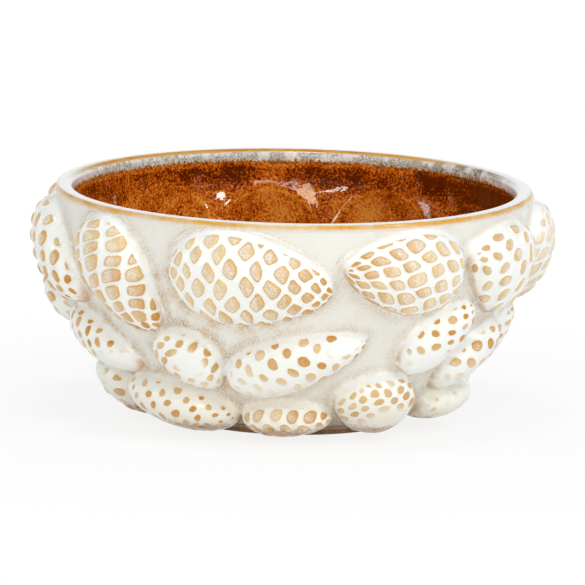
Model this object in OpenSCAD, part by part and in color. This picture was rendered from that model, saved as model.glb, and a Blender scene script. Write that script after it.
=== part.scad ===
// Round stoneware bowl whose outside is covered with pine cones in relief.
// Origin: centre of the circle that the foot stands on. +Z is up, and the side that
// the azimuth 0 names is -Y. Azimuths grow towards +X.

/* [Bowl] */
// Outer diameter of the rim
rim_d = 204; // [170:1:260]
// Height from the table to the top of the lip
bowl_h = 100; // [85:1:130]
// Thickness of the clay wall and floor
wall_t = 6.2; // [4.5:0.1:8]
// How soon the belly swells out above the foot, as a power: a lower one is fuller
belly_share = 0.72; // [0.6:0.02:1]

/* [Lip] */
// Width of the lip, across its top
lip_w = 7.2; // [6.5:0.1:9]
// Height of the lip above the wall that carries it
lip_h = 3.6; // [3:0.1:5]
// How far the lip stands out past the wall
lip_overhang = 0.6; // [0.2:0.1:1]
// Radius of the lip's outer corner, where the glaze breaks tan
lip_outer_r = 1.6; // [0.8:0.1:2]
// Radius of the lip's inner corner
lip_inner_r = 2.6; // [1:0.1:2.8]

/* [Foot] */
// Outer diameter of the ring that the bowl stands on
foot_d = 94; // [84:1:104]
// Height of the foot ring
foot_h = 3.5; // [2.5:0.1:5]
// Width of the foot ring's standing face
foot_w = 7; // [5:0.5:10]
// How far the belly starts outside the foot ring
foot_step = 1.5; // [0.5:0.1:3]

/* [Glaze] */
// Thickness of the amber glaze that lines the inside
glaze_t = 0.8; // [0.5:0.1:1.2]
// Depth of the pale band that stays between the lip's top and the amber glaze
band_h = 5; // [5:0.1:8]

/* [Hollows] */
// Radius of the round hollow pressed into the inside behind each upper cone
hollow_r = 40; // [34:1:44]
// Depth of that hollow
hollow_depth = 2.6; // [1.5:0.1:3]

/* [Upper cones] */
// How far an upper cone stands out from the wall, without its scales
upper_proud = 11.4; // [8:0.1:14]
// Rows of scales along an upper cone
upper_scale_rows = 5; // [3:1:6]
// Scales across an upper cone
upper_scales_across = 3; // [2:1:4]

/* [Middle cones] */
// How far a middle cone stands out from the wall, without its scales
middle_proud = 10.4; // [7:0.1:13]
// Rows of scales along a middle cone
middle_scale_rows = 4; // [3:1:5]
// Scales across a middle cone
middle_scales_across = 2; // [2:1:3]

/* [Lower cones] */
// How far a lower cone stands out from the wall, without its scales
lower_proud = 13; // [8:0.1:14]
// Rows of scales along a lower cone
lower_scale_rows = 3; // [3:1:4]
// Scales across a lower cone
lower_scales_across = 2; // [2:1:3]

/* [Scales] */
// How far each scale's pad stands above the grooves round it
scale_h = 1.6; // [0.5:0.1:2.4]

/* [Hidden] */
$fn = 96;

// Where the cones sit. Each line is one cone: its azimuth, the direction that its tip
// points in (0 is to the right and 90 is up, seen from outside), then how far its
// middle lies below the wall's top as a share of bowl_h, its length and width as shares
// of the rim's radius, and its relief as a share of its row's value.
upper_place_shares = [
    [-81, -40, 0.240, 0.535, 0.360, 1.12],
    [-48, -52, 0.254, 0.561, 0.365, 1.00],
    [-10.5, -6, 0.220, 0.694, 0.400, 1.03],
    [29, 174, 0.184, 0.559, 0.361, 1.00],
    [62, 160, 0.204, 0.518, 0.384, 1.00],
    [93, -50, 0.242, 0.529, 0.353, 1.05],
    [124, -20, 0.212, 0.541, 0.353, 1.00],
    [155, 196, 0.214, 0.541, 0.353, 1.02],
    [187, -28, 0.225, 0.553, 0.361, 1.02],
    [217, 170, 0.189, 0.541, 0.353, 1.00],
    [247, 198, 0.205, 0.500, 0.345, 1.08],
];
middle_place_shares = [
    [-96, -44, 0.446, 0.340, 0.235, 1.45],
    [-70, -20, 0.590, 0.500, 0.290, 1.14],
    [-30.5, -54, 0.600, 0.346, 0.286, 1.04],
    [0.5, 26, 0.589, 0.623, 0.293, 1.04],
    [44, 54, 0.495, 0.412, 0.272, 0.94],
    [63.5, 58, 0.605, 0.402, 0.245, 1.00],
    [88.5, 84, 0.596, 0.382, 0.262, 0.79],
    [114, 20, 0.539, 0.480, 0.284, 1.00],
    [146, -35, 0.554, 0.451, 0.293, 1.02],
    [177, 30, 0.564, 0.480, 0.284, 1.00],
    [209, -50, 0.564, 0.422, 0.293, 1.00],
    [238, 15, 0.579, 0.490, 0.279, 1.00],
];
lower_place_shares = [
    [-82.5, -66, 0.808, 0.350, 0.270, 1.10],
    [-43, -12, 0.822, 0.525, 0.320, 1.20],
    [-1, 4, 0.852, 0.361, 0.239, 1.04],
    [32, -57, 0.794, 0.419, 0.335, 1.06],
    [74, 10, 0.822, 0.380, 0.225, 1.04],
    [113, -10, 0.826, 0.469, 0.264, 1.00],
    [155, 14, 0.829, 0.433, 0.256, 1.00],
    [198, -22, 0.819, 0.451, 0.264, 0.98],
    [241, 8, 0.834, 0.460, 0.256, 1.00],
];
// How much narrower a cone is towards its tip than towards its stem
upper_taper_share = 0.3;
middle_taper_share = 0.2;
lower_taper_share = 0.12;
// How bluntly a cone's relief falls off towards its two ends, as a power
blunt_share = 0.7;
// How much of the wall's lean the relief follows, so that cones droop a little
droop_share = 0.4;

rim_r = rim_d / 2;
wall_top_r = rim_r - lip_overhang;
wall_top_z = bowl_h - lip_h;
belly_r = foot_d / 2 + foot_step;
glaze_top_z = bowl_h - band_h;
// Steps of the wall's curve, of a lip corner's arc and of a cone's back
wall_steps = 26;
corner_steps = 6;
back_steps_upper = 5;
back_steps_other = 4;
// One overrun for all cuts
overrun = wall_t;
// The span over which the wall's lean is measured
lean_span = foot_h / 20;

// Radius of the wall's outside at a height
function wall_r(z) =
    let (rise = max(0, min(1, (z - foot_h) / (wall_top_z - foot_h))))
    belly_r + (wall_top_r - belly_r) * pow(sin(90 * rise), belly_share);

// Lean of the wall from the vertical at a height, in degrees
function wall_lean(z) = atan2(wall_r(z + lean_span) - wall_r(z - lean_span), 2 * lean_span);

// Point at a depth behind the wall's outside, in the profile's own plane
function behind(z, depth) =
    let (lean = wall_lean(z))
    [wall_r(z) - depth * cos(lean), z + depth * sin(lean)];

function wall_heights(top) = [for (i = [0:wall_steps]) foot_h + (top - foot_h) * i / wall_steps];

// Points of a quarter arc in a profile, turning clockwise
function corner(centre, r, from) = [
    for (i = [0:corner_steps])
        let (a = from - 90 * i / corner_steps)
        [centre[0] + r * cos(a), centre[1] + r * sin(a)]
];

// The space inside the bowl, a depth behind the wall's outside, open past the rim
module cavity(depth) {
    inside = [for (z = wall_heights(wall_top_z)) behind(z, depth)];
    rotate_extrude()
        polygon(concat(
            [[0, inside[0][1]]],
            inside,
            [[wall_top_r - depth, bowl_h + overrun], [0, bowl_h + overrun]]
        ));
}

// The hollows behind the upper cones, each a part of a ball, less a skin on each
module hollows(skin) {
    for (place = upper_place_shares) {
        z = cone_z(place);
        bottom_r = behind(z, wall_t)[0] + hollow_depth;
        rotate([0, 0, place[0]])
            translate([0, hollow_r - bottom_r, z])
                sphere(r = hollow_r - skin);
    }
}

module bowl_body() {
    outside = [for (z = wall_heights(wall_top_z)) [wall_r(z), z]];
    color("#E6E1D8")
        difference() {
            rotate_extrude()
                polygon(concat([[0, foot_h]], outside, [[0, wall_top_z]]));
            cavity(wall_t);
            hollows(0);
        }
}

module inner_glaze() {
    color("#94501A")
        difference() {
            intersection() {
                union() {
                    cavity(wall_t);
                    hollows(0);
                }
                cylinder(r = rim_r, h = glaze_top_z);
            }
            cavity(wall_t + glaze_t);
            hollows(glaze_t);
        }
}

module rim_lip() {
    inner_r = rim_r - lip_w;
    color("#F4F1EA")
        rotate_extrude()
            polygon(concat(
                [[inner_r, wall_top_z]],
                corner([inner_r + lip_inner_r, bowl_h - lip_inner_r], lip_inner_r, 180),
                corner([rim_r - lip_outer_r, bowl_h - lip_outer_r], lip_outer_r, 90),
                [[rim_r, wall_top_z]]
            ));
}

module foot_ring() {
    outer_r = foot_d / 2;
    color("#9A6A3C")
        difference() {
            cylinder(r = outer_r, h = foot_h);
            translate([0, 0, -overrun])
                cylinder(r = outer_r - foot_w, h = foot_h + 2 * overrun);
        }
}

// Point a height above the wall, at an azimuth and a height on the wall
function on_wall(azimuth, z, height) =
    let (lean = droop_share * wall_lean(z), r = wall_r(z) + height * cos(lean))
    [r * sin(azimuth), -r * cos(azimuth), z - height * sin(lean)];

// Height on the wall of a cone's middle
function cone_z(place) = wall_top_z - place[2] * bowl_h;

// Point of a cone, above the wall by a height. Where it lies along the cone's axis
// towards the tip, and across it, are shares: sideways of the rim's radius, and upwards
// of the bowl's height, so that the ring of cones still fits a wider or taller bowl.
function cone_point(place, along_share, across_share, height) =
    let (
        tip = place[1],
        z = cone_z(place),
        sideways = (along_share * cos(tip) - across_share * sin(tip)) * rim_r,
        upwards = (along_share * sin(tip) + across_share * cos(tip)) * bowl_h,
        degree = wall_r(z) * PI / 180
    )
    on_wall(place[0] + sideways / degree, z + upwards * cos(wall_lean(z)), height);

// Angle of a row of points from the stem to the tip: close together at both ends
function row_angle(i, rows) = (180 * i / rows + acos(1 - 2 * i / rows)) / 2;

// 1 on the middle of a scale's pad and 0 in the groove, in a staggered pattern
function pad(i, j) = (1 + cos(90 * i) * cos(90 * j)) / 2;

// One pine cone in relief: a tapering egg with pads, whose back follows the wall
module relief_cone(place, proud, scale_rows, scales_across, back_steps, taper) {
    l_share = place[3];
    w_share = place[4];
    h = proud * place[5];
    rows = 4 * scale_rows + 2;
    columns = 4 * scales_across;
    // A flat facet of the back spans the wall's curve, and this much keeps it clear
    seat = pow(w_share * rim_r / back_steps, 2) / (8 * wall_r(cone_z(place)));

    function half_w(i) =
        let (a = row_angle(i, rows)) w_share / 2 * sin(a) * (1 + taper * cos(a));
    function top_point(i, j) =
        let (
            a = row_angle(i, rows),
            side = 180 * j / columns - 90,
            dome = pow(sin(a), blunt_share) * cos(side)
        )
        cone_point(
            place, -l_share / 2 * cos(a), half_w(i) * sin(side),
            seat + h * dome + scale_h * pad(i, j) * sqrt(dome)
        );
    function back_point(i, k) =
        let (along = -l_share / 2 * cos(row_angle(i, rows)))
        cone_point(place, along, half_w(i) * (2 * k / back_steps - 1), seat);
    function top(i, j) = 2 + (i - 1) * (columns + 1) + j;
    function back(i, k) =
        k == 0 ? top(i, 0)
        : k == back_steps ? top(i, columns)
        : 2 + (rows - 1) * (columns + 1) + (i - 1) * (back_steps - 1) + k - 1;

    points = concat(
        [cone_point(place, -l_share / 2, 0, seat), cone_point(place, l_share / 2, 0, seat)],
        [for (i = [1:rows - 1], j = [0:columns]) top_point(i, j)],
        [for (i = [1:rows - 1], k = [1:back_steps - 1]) back_point(i, k)]
    );
    faces = concat(
        [for (j = [0:columns - 1]) [0, top(1, j + 1), top(1, j)]],
        [for (j = [0:columns - 1]) [1, top(rows - 1, j), top(rows - 1, j + 1)]],
        [for (k = [0:back_steps - 1]) [0, back(1, k), back(1, k + 1)]],
        [for (k = [0:back_steps - 1]) [1, back(rows - 1, k + 1), back(rows - 1, k)]],
        [for (i = [1:rows - 2], j = [0:columns - 1], half = [0, 1])
            half == 0
                ? [top(i, j), top(i, j + 1), top(i + 1, j + 1)]
                : [top(i, j), top(i + 1, j + 1), top(i + 1, j)]],
        [for (i = [1:rows - 2], k = [0:back_steps - 1], half = [0, 1])
            half == 0
                ? [back(i, k), back(i + 1, k), back(i + 1, k + 1)]
                : [back(i, k), back(i + 1, k + 1), back(i, k + 1)]]
    );
    polyhedron(points = points, faces = faces, convexity = 4);
}

module upper_cone(i) {
    color("#F1ECE2")
        relief_cone(
            upper_place_shares[i], upper_proud, upper_scale_rows, upper_scales_across,
            back_steps_upper, upper_taper_share
        );
}

module middle_cone(i) {
    color("#EFE9DD")
        relief_cone(
            middle_place_shares[i], middle_proud, middle_scale_rows, middle_scales_across,
            back_steps_other, middle_taper_share
        );
}

module lower_cone(i) {
    color("#F3EFE6")
        relief_cone(
            lower_place_shares[i], lower_proud, lower_scale_rows, lower_scales_across,
            back_steps_other, lower_taper_share
        );
}

function cone_name(row, i) = str(row, "_cone_", i < 9 ? "0" : "", i + 1);
function cone_names(row, places) = [for (i = [0:len(places) - 1]) cone_name(row, i)];

bowl_body();
rim_lip();
foot_ring();
inner_glaze();
for (i = [0:len(upper_place_shares) - 1])
    upper_cone(i);
for (i = [0:len(middle_place_shares) - 1])
    middle_cone(i);
for (i = [0:len(lower_place_shares) - 1])
    lower_cone(i);
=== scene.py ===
"""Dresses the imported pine-cone bowl: its clay relief, its glazes and a plain studio."""

import math
from functools import cache

import bpy
import numpy as np
from mathutils import Euler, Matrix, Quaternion, Vector


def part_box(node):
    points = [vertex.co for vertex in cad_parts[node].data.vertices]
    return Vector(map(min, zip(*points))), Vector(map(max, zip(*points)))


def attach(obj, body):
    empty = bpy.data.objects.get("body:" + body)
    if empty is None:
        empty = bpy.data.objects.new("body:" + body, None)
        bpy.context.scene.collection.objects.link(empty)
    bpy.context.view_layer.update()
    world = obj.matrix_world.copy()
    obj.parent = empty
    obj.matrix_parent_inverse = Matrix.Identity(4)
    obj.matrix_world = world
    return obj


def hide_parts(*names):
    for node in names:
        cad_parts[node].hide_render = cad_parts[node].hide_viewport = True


bl_info = {
    "name": "Pine-cone bowl",
    "version": (1, 0, 0),
    "blender": (4, 5, 0),
    "location": "3D View > Sidebar > Bowl",
    "description": "Models and glazes a round stoneware bowl with pine cones in relief",
    "category": "Object",
}

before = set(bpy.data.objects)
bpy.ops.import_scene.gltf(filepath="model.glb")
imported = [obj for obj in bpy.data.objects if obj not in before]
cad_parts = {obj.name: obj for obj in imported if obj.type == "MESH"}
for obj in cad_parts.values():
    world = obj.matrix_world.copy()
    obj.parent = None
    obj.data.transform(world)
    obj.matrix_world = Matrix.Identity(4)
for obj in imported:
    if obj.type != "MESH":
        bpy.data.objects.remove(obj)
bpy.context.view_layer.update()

LIP_LOW, LIP_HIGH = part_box("rim_lip")
FOOT_LOW, FOOT_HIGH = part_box("foot_ring")
RIM_R = (LIP_HIGH.x - LIP_LOW.x) / 2
BOWL_H = LIP_HIGH.z
WALL_TOP_Z = LIP_LOW.z
FOOT_R = (FOOT_HIGH.x - FOOT_LOW.x) / 2
FOOT_H = FOOT_HIGH.z
MM = 0.001

# Masks of the points that no pad, cone or lip is near, in millimetres
OFF_PAD = -3.0
FAR_EDGE = 12.0
OFF_LIP = -1.0

# How much blunter a cone's ends are than an egg's, as a power, and where that stops growing
BLUNTNESS = 0.15
BLUNT_LIMIT = 0.95

# No pad comes nearer to a cone's edge than this, below the cone and above it
PAD_MARGIN_LOW = 0.2 * MM
PAD_MARGIN_HIGH = 1.1 * MM

# How far past a cone's edge its piece reaches, below the cone and above it
CELL_REACH_LOW = 0.8 * MM
CELL_REACH_HIGH = 4.2 * MM

# The relief fades in over this height above the foot. On the lip it fades out between two
# depths below the bowl's top, and it stays off the lip's top, this far inside the rim.
FOOT_FADE = 3 * MM
LIP_FADE_START = 2.2 * MM
LIP_FADE_END = 0.9 * MM
LIP_TOP = 1.5 * MM

# How many times the search for the clay's height halves its span
HALVINGS = 15

# Half widths of the pads that count as small and as big, how far a pad's slope runs past
# its outline, how blunt it is, how much higher it stands on its thin side, and the share of
# the full height that a small pad has and that a pad under glaze keeps
SMALL_PAD = 1.4 * MM
BIG_PAD = 2.4 * MM
PAD_SLOPE = 0.25 * MM
PAD_BLUNTNESS = 0.65
PAD_TILT = 0.4
SMALL_PAD_HEIGHT = 0.32
GLAZED_PAD_HEIGHT = 0.35

# The share of a pad's height that a pool of glaze fills, and the relief that is too low
# to carry pads
POOL_FILL = 0.6
PADLESS_RELIEF = 0.2 * MM

# Relief lower than this is left to the wall
LEAST_RELIEF = 0.02 * MM

# Width of the line of painted shade in the crease under a cone
CREASE_SHADE_LINE = 0.5 * MM

# The rows of scales sway and ripple by so many millimetres, in waves that turn by so many
# radians for each millimetre, first along the cone and then across it. A scale strays from
# its row by up to half of STRAY, in steps, and is larger or smaller by up to half of
# SIZE_SPREAD.
SWAY = 0.7
RIPPLE = 0.4
SWAY_TURNS = (0.31, 0.24)
RIPPLE_TURNS = (0.43, 0.51)
STRAY = 0.08
SIZE_SPREAD = 0.16

# How far a cone's back lies under the wall's plain surface
BURIED = 0.8 * MM

# The inside's profile ends this far from the bowl's axis. The hollows' brinks are rounded,
# and the hollows fade in over this length below the top of the inside.
AXIS_GAP = 0.3 * MM
BRINK = 0.4 * MM
HOLLOW_FADE = 2.5 * MM

# Steps of the curves that the profiles of the outside and the inside are taken from
OUTSIDE_STEPS = 3000
INSIDE_STEPS = 2000

# Columns and rows of the faces inside the wall, of the lining and round the foot
WALL_INSIDE_ROWS = 44
LINING_COLUMNS = 480
LINING_ROWS = 84
FOOT_COLUMNS = 192

# The wall's underside: shares of the foot's radius, and heights above the foot in millimetres
UNDERSIDE = ((0.01, 1.2), (0.4, 1), (0.8, 0.1), (0.96, 0))

# How far the wall's inner top edge lies behind the lip's inside, and how far under that
# edge the wall's inside starts
WALL_TUCK = 0.4 * MM
WALL_SLOPE = 1 * MM

# How far behind its face the lining's hidden back lies, as a share of its thickness
LINING_BACK_SHARE = 0.7

# How far the lip's hidden faces lie behind its inside, and how far they sink into the wall
LIP_TUCK = 0.3 * MM
LIP_SINK = 0.05 * MM

# Where the outside's glaze changes: heights for its cream, its sand and its burnt edge at
# the table, and how far across the bowl the sand deepens to the left, as painted shade on
# the side away from the key light
CREAM_BELOW = (34 * MM, 10 * MM)
SANDY_BELOW = (92 * MM, 66 * MM)
SANDIER_BELOW = (18 * MM, 7 * MM)
BURNT_BELOW = (12 * MM, 9 * MM)
SAND_AS_SHADE_LEFT = (20 * MM, -60 * MM)

# Where the glaze changes over the lip, in millimetres from the bottom of its outside
OUTER_LINE_STARTS = (0.6, 2.6)
OUTER_LINE_ENDS = (4.1, 3.6)
LIP_TOP_STARTS = (3.8, 4.4)
INNER_LINE_STARTS = (6.0, 6.6)
INNER_LINE_ENDS = (10.6, 9.2)
BAND_STARTS = (7.6, 9.0)
RUST_STARTS = (12.9, 14.3)

# Half the side of the studio's floor, in metres, and its colour
FLOOR_REACH = 12.0
FLOOR_COLOUR = (0.86, 0.86, 0.86)

# How bright the surround is: as it lights the bowl, and least as the glaze mirrors it
SURROUND_LIGHT = 0.52
SURROUND_MIRRORED = 0.10

# Where the cones sit. Each line is one cone: its azimuth, the direction that its tip
# points in (0 is to the right and 90 is up, seen from outside), then how far its
# middle lies below the wall's top as a share of the bowl's height, its length and width
# as shares of the rim's radius, and its relief as a share of its row's value.
UPPER_PLACE_SHARES = [
    (-81, -40, 0.240, 0.535, 0.360, 1.12),
    (-48, -52, 0.254, 0.561, 0.365, 1.00),
    (-10.5, -6, 0.220, 0.694, 0.400, 1.03),
    (29, 174, 0.184, 0.559, 0.361, 1.00),
    (62, 160, 0.204, 0.518, 0.384, 1.00),
    (93, -50, 0.242, 0.529, 0.353, 1.05),
    (124, -20, 0.212, 0.541, 0.353, 1.00),
    (155, 196, 0.214, 0.541, 0.353, 1.02),
    (187, -28, 0.225, 0.553, 0.361, 1.02),
    (217, 170, 0.189, 0.541, 0.353, 1.00),
    (247, 198, 0.205, 0.500, 0.345, 1.08),
]
MIDDLE_PLACE_SHARES = [
    (-96, -44, 0.446, 0.340, 0.235, 1.45),
    (-70, -20, 0.590, 0.500, 0.290, 1.14),
    (-30.5, -54, 0.600, 0.346, 0.286, 1.04),
    (0.5, 26, 0.589, 0.623, 0.293, 1.04),
    (44, 54, 0.495, 0.412, 0.272, 0.94),
    (63.5, 58, 0.605, 0.402, 0.245, 1.00),
    (88.5, 84, 0.596, 0.382, 0.262, 0.79),
    (114, 20, 0.539, 0.480, 0.284, 1.00),
    (146, -35, 0.554, 0.451, 0.293, 1.02),
    (177, 30, 0.564, 0.480, 0.284, 1.00),
    (209, -50, 0.564, 0.422, 0.293, 1.00),
    (238, 15, 0.579, 0.490, 0.279, 1.00),
]
LOWER_PLACE_SHARES = [
    (-82.5, -66, 0.808, 0.350, 0.270, 1.10),
    (-43, -12, 0.822, 0.525, 0.320, 1.20),
    (-1, 4, 0.852, 0.361, 0.239, 1.04),
    (32, -57, 0.794, 0.419, 0.335, 1.06),
    (74, 10, 0.822, 0.380, 0.225, 1.04),
    (113, -10, 0.826, 0.469, 0.264, 1.00),
    (155, 14, 0.829, 0.433, 0.256, 1.00),
    (198, -22, 0.819, 0.451, 0.264, 0.98),
    (241, 8, 0.834, 0.460, 0.256, 1.00),
]

# How the scales lie on a cone, in millimetres along and across it: the two steps from one
# pad to its neighbours, then the pad's two half axes, the power of its outline (2 is an
# oval, 4 is nearly square) and how often the glaze covers a pad.
SCALE_PATTERNS = {
    "tall diamonds": ((5.8, -6.5), (4.0, 8.4), (2.25, -2.5), (1.5, 3.25), 3.4, 0.0),
    "squares": ((5.5, -4.3), (4.3, 11.0), (2.4, -1.85), (1.7, 4.5), 3.4, 0.0),
    "leaning": ((4.8, -6.1), (7.9, 3.0), (1.9, -2.5), (3.2, 1.25), 3.2, 0.02),
    "ovals": ((4.9, -5.9), (6.0, 6.7), (2.5, 0.0), (0.0, 3.3), 2.2, 0.02),
    "wide ovals": ((6.2, -5.4), (6.6, 7.6), (2.9, 0.6), (-0.5, 3.1), 2.2, 0.10),
    "seeds": ((4.4, -5.8), (6.8, 4.3), (2.1, 0.0), (0.3, 3.1), 2.0, 0.04),
    "small seeds": ((4.6, -4.2), (4.6, 4.8), (1.8, 0.0), (0.2, 2.1), 2.0, 0.04),
    "big seeds": ((5.2, 4.2), (1.9, -5.2), (1.6, 0.2), (0.0, 2.7), 2.0, 0.04),
    "slivers": ((5.4, 3.4), (2.4, -6.2), (1.8, 0.5), (-0.7, 3.0), 2.0, 0.02),
    "dots": ((5.6, 4.2), (3.6, -5.0), (1.5, 0.2), (-0.1, 2.5), 2.0, 0.10),
    "rows": ((3.3, 5.4), (6.0, -0.2), (1.0, 1.7), (-2.3, 1.4), 2.0, 0.06),
    "tall seeds": ((6.2, 0.4), (3.1, -8.4), (2.3, 0.0), (0.2, 4.2), 2.0, 0.04),
}
UPPER_PATTERNS = ["ovals", "squares", "tall diamonds", "leaning", "wide ovals", "tall diamonds",
                  "squares", "leaning", "ovals", "tall diamonds", "leaning"]
MIDDLE_PATTERNS = ["ovals", "big seeds", "slivers", "seeds", "small seeds", "seeds",
                   "big seeds", "rows", "seeds", "dots", "big seeds", "seeds"]
LOWER_PATTERNS = ["seeds", "dots", "tall seeds", "rows", "dots", "seeds", "dots", "rows", "dots"]

# What the cones of a row share: how much they taper, how faint their pads get low down,
# how high the pads stand, and how much one pad is barer than the next
ROW_LOOKS = {
    "upper": (0.30, 0.0, 1.0, 0.25),
    "middle": (0.20, 0.75, 0.65, 0.5),
    "lower": (0.12, 0.75, 0.65, 0.5),
}

# How bare the pads of some cones are; the rest are at 1
BARENESS = {
    "upper_cone_04": 0.90, "upper_cone_05": 0.75, "upper_cone_06": 0.6, "middle_cone_07": 0.8,
    "lower_cone_01": 0.85,
}

# The side of a pad that the glaze has run off, in degrees from the cone's tip
USUAL_THIN_SIDE = 25
THIN_SIDES = {"upper_cone_01": 60, "upper_cone_02": 75, "lower_cone_01": 60}

# How far the scales of some cones are shifted, in steps
PAD_SHIFTS = {"upper_cone_02": (0.1, 0.5)}

# Where glaze has pooled over the scales: how far along and across the cone, as shares of
# its half length and half width, and the pool's radius in the same shares.
GLAZE_POOLS = {
    "middle_cone_02": (0.90, 0.00, 0.65),
    "middle_cone_03": (0.05, 0.30, 0.50),
    "middle_cone_04": (0.72, 0.20, 0.34),
    "middle_cone_05": (-0.55, -0.20, 0.50),
    "middle_cone_07": (-0.10, -0.30, 0.80),
    "middle_cone_09": (0.50, -0.10, 0.45),
    "middle_cone_11": (-0.40, 0.10, 0.50),
    "lower_cone_01": (-0.60, 0.20, 0.60),
    "lower_cone_02": (-0.20, -0.75, 0.55),
    "lower_cone_03": (0.35, -0.55, 0.80),
    "lower_cone_04": (0.45, -0.10, 0.85),
    "lower_cone_05": (0.20, 0.10, 1.10),
    "lower_cone_07": (-0.30, -0.50, 0.60),
    "lower_cone_09": (0.40, -0.60, 0.60),
}


def length_property(label, description, millimetres, digits=4):
    """A length that the panel shows, given in millimetres and kept in metres."""
    return bpy.props.FloatProperty(
        name=label, description=description, default=millimetres * MM, unit="LENGTH",
        precision=digits,
    )


class BowlForm(bpy.types.PropertyGroup):
    """Sizes of the clay and of the glaze on it"""

    lip_overhang: length_property("Lip overhang", "How far the lip stands out past the wall", 0.6)
    lip_width: length_property("Lip width", "Width of the lip across its top", 7.2)
    lip_outer_radius: length_property("Lip outer corner", "Radius of the lip's outer corner", 1.6)
    lip_inner_radius: length_property("Lip inner corner", "Radius of the lip's inner corner", 2.6)
    wall_thickness: length_property("Wall thickness", "Thickness of the clay wall and floor", 6.2)
    belly_share: bpy.props.FloatProperty(
        name="Belly", description="How soon the belly swells out above the foot, as a power",
        default=0.72, subtype="FACTOR", min=0.4, max=1,
    )
    foot_step: length_property("Foot step", "How far the belly starts outside the foot ring", 1.5)
    foot_width: length_property("Foot width", "Width of the foot ring's standing face", 7)
    glaze_thickness: length_property(
        "Lining thickness", "Thickness of the amber glaze inside", 0.8,
    )
    band_height: length_property("Band height", "Depth of the pale band above the amber glaze", 5)
    hollow_radius: length_property(
        "Hollow radius", "Radius of the hollow behind an upper cone", 40,
    )
    hollow_depth: length_property("Hollow depth", "Depth of the hollow behind an upper cone", 2.6)


class ReliefLook(bpy.types.PropertyGroup):
    """Sizes of the cones' relief"""

    upper_proud: length_property("Upper relief", "How far the upper cones stand out", 11.4)
    middle_proud: length_property("Middle relief", "How far the middle cones stand out", 10.4)
    lower_proud: length_property("Lower relief", "How far the lower cones stand out", 13)
    droop_share: bpy.props.FloatProperty(
        name="Droop", description="How much of the wall's lean the relief follows",
        default=0.4, subtype="FACTOR", min=0, max=1,
    )
    collar: length_property("Collar", "Reach of the fillet round the upper side of a cone", 4.2)
    crease: length_property("Crease", "Reach of the fillet under a cone", 1.0)
    scale_height: length_property("Scale height", "Height of a scale's pad above the grooves", 1.3)
    columns: bpy.props.IntProperty(
        name="Columns", description="Faces round the relief, a multiple of four",
        default=1344, min=96,
    )
    rows: bpy.props.IntProperty(
        name="Rows", description="Faces up the relief, a multiple of two",
        default=220, min=20,
    )


def colour_property(label, description, rgb):
    """A colour that the panel shows, given as on a screen and kept as light."""
    light = [c / 12.92 if c <= 0.04045 else ((c + 0.055) / 1.055) ** 2.4 for c in rgb]
    return bpy.props.FloatVectorProperty(
        name=label, description=description, default=light, subtype="COLOR", min=0, max=1,
    )


class GlazeColours(bpy.types.PropertyGroup):
    """Colours of the clay and the glazes"""

    white: colour_property("White", "White glaze in grooves and collars", (0.945, 0.955, 0.95))
    cream: colour_property("Cream", "The same glaze near the foot", (0.955, 0.95, 0.915))
    wall: colour_property("Wall", "Thin white glaze over the bare wall", (0.905, 0.908, 0.89))
    sand: colour_property("Sand", "Clay showing through on the wall", (0.74, 0.62, 0.46))
    ochre: colour_property("Ochre", "Glaze broken on an edge", (0.80, 0.61, 0.27))
    orange: colour_property("Orange", "The warmest broken glaze", (0.775, 0.54, 0.15))
    straw: colour_property("Straw", "Glaze thinning towards a pad", (0.925, 0.87, 0.72))
    core: colour_property("Pad centre", "Greyish glaze on the middle of a pad", (0.90, 0.87, 0.83))
    brown: colour_property("Brown", "Clay of the wiped foot", (0.42, 0.25, 0.12))
    rim: colour_property("Rim line", "Tan line on the lip's corners", (0.86, 0.64, 0.26))
    band: colour_property("Band", "Grey of the mottled band inside", (0.55, 0.55, 0.48))
    # Dark painted shade, on the band's right end and in a line along the lining's top
    dark_shade: colour_property("Soot", "Dark specks under the band", (0.25, 0.16, 0.12))
    amber_dark: colour_property("Dark amber", "Deep specks of the lining", (0.34, 0.11, 0.0))
    amber: colour_property("Amber", "Middle colour of the lining", (0.76, 0.36, 0.045))
    amber_light: colour_property("Light amber", "Bright specks of the lining", (0.90, 0.61, 0.24))


class StageLook(bpy.types.PropertyGroup):
    """The studio"""

    elevation: bpy.props.FloatProperty(
        name="Camera elevation", description="How far the camera looks down",
        default=math.radians(9.6), subtype="ANGLE",
    )
    roll: bpy.props.FloatProperty(
        name="Camera roll", description="How far the camera leans",
        default=0.021, subtype="ANGLE",
    )
    distance: bpy.props.FloatProperty(
        name="Camera distance", description="From the camera to the bowl",
        default=12, unit="LENGTH",
    )
    pixel: length_property("Pixel", "Width of a picture pixel at the bowl", 0.4283, 6)


# The picture's side, and where the foot's centre stands in it, in pixels
PICTURE_PX = 585
ORIGIN_X_PX = 289.4
ORIGIN_Y_PX = 416.3


# The studio's soft boxes: name, azimuth, elevation, width, height, turn, power and warmth
LAMP_DISTANCE = 1.9
LAMP_AIM_Z = BOWL_H * 0.7
LAMPS = [
    ("key", 55, 40, 0.50, 0.50, 0, 6.6, 0.0),
    ("top", -10, 75, 0.50, 0.50, 0, 9.2, 0.0),
    ("bar", 60, 16, 0.20, 0.42, 0, 2.6, 0.0),
    ("square", 41, 11, 0.16, 0.13, 0, 1.4, 0.1),
    ("broad", -6, 14, 0.36, 0.50, 20, 5.0, 0.3),
    ("slot", -20, 9, 0.60, 0.03, 14, 0.9, 0.0),
    ("side", -76, 9, 0.25, 0.40, 0, 1.8, 0.0),
    ("low left", -50, 5, 0.60, 0.24, 0, 1.9, 0.0),
    ("low front", 10, 4, 0.80, 0.20, 0, 2.6, 0.0),
]


def soft_step(low, high, x):
    """0 below low, 1 above high and a smooth rise between them."""
    t = np.clip((x - low) / (high - low), 0, 1)
    return t * t * (3 - 2 * t)


def merge(a, b, reach):
    """The lower of two distances, rounded where they differ by less than reach."""
    overlap = np.maximum(reach - np.abs(a - b), 0)
    return np.minimum(a, b) - overlap * overlap / (4 * reach)


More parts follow.
